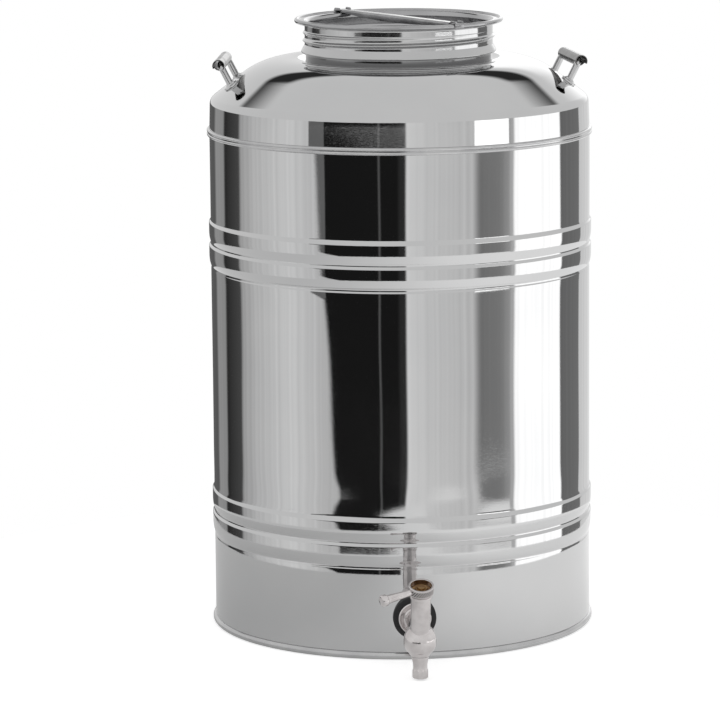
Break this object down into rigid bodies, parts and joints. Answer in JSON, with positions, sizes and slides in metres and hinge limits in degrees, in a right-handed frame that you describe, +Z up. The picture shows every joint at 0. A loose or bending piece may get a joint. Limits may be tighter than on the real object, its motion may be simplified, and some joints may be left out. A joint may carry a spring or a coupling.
{
  "type": "stainless steel liquid drum with lever tap",
  "caption": "Upright polished steel drum for liquids with beaded walls, a screw lid with a grip bar, carrying handles on the shoulder and a lever tap at the foot.",
  "frame": {"origin": "on the drum's axis, in the plane that its foot ring stands on", "axes": "+Z up along the drum's axis, -Y towards the tap, the handles on -X (left) and +X (right)"},
  "size_m": [0.4564, 0.6001, 0.7263],
  "materials": {
    "polished_steel": "mirror polished stainless steel",
    "grip_steel": "rolled stainless steel, polished",
    "tap_chrome": "chrome plate, slightly warm",
    "tap_brass": "bare brass, dulled",
    "black_rubber": "smooth black rubber",
    "ptfe": "white PTFE"
  },
  "bodies": {
    "drum": {"body_shell": "polished_steel", "bottom_plate": "polished_steel", "foot_ring": "polished_steel", "seam_hoop": "polished_steel", "shoulder_dome": "polished_steel", "neck_ring": "polished_steel", "handle_feet_left": "polished_steel", "handle_bail_left": "polished_steel", "handle_grip_left": "grip_steel", "handle_feet_right": "polished_steel", "handle_bail_right": "polished_steel", "handle_grip_right": "grip_steel", "tap_outer_gasket": "black_rubber", "tap_flange": "tap_chrome", "tap_inner_gasket": "black_rubber", "tap_washer": "tap_chrome", "tap_back_nut": "tap_chrome", "tap_body": "tap_chrome", "spout_tip": "tap_chrome", "tap_gland": "tap_chrome"},
    "lid_seal": {"lid_seal": "black_rubber"},
    "lid": {"lid_pan": "polished_steel", "lid_bar": "polished_steel", "lid_bar_clips": "polished_steel"},
    "tap_rotor": {"tap_plug": "tap_brass", "plug_orings": "black_rubber", "thrust_washer": "ptfe", "tap_cap_ring": "tap_chrome", "stem_washer": "tap_brass", "stem_nut": "tap_brass", "tap_lever": "tap_chrome"}
  },
  "joints": [
    {"name": "lid_lift", "type": "slide", "parent": "drum", "child": "lid_seal", "axis": [0, 0, 1], "range_m": [0, 0.0301]},
    {"name": "lid_turn", "type": "hinge", "parent": "lid_seal", "child": "lid", "pos_m": [0, 0, 0.72], "axis": [0, 0, 1], "range_deg": [0, 1080]},
    {"name": "tap_turn", "type": "hinge", "parent": "drum", "child": "tap_rotor", "pos_m": [0, -0.34442, 0.11009], "axis": [0, -0.342, 0.9397], "range_deg": [0, 90]}
  ],
  "couplings": [
    {"joint": "lid_lift", "follows": "lid_turn", "m_per_rad": 0.0015915}
  ]
}
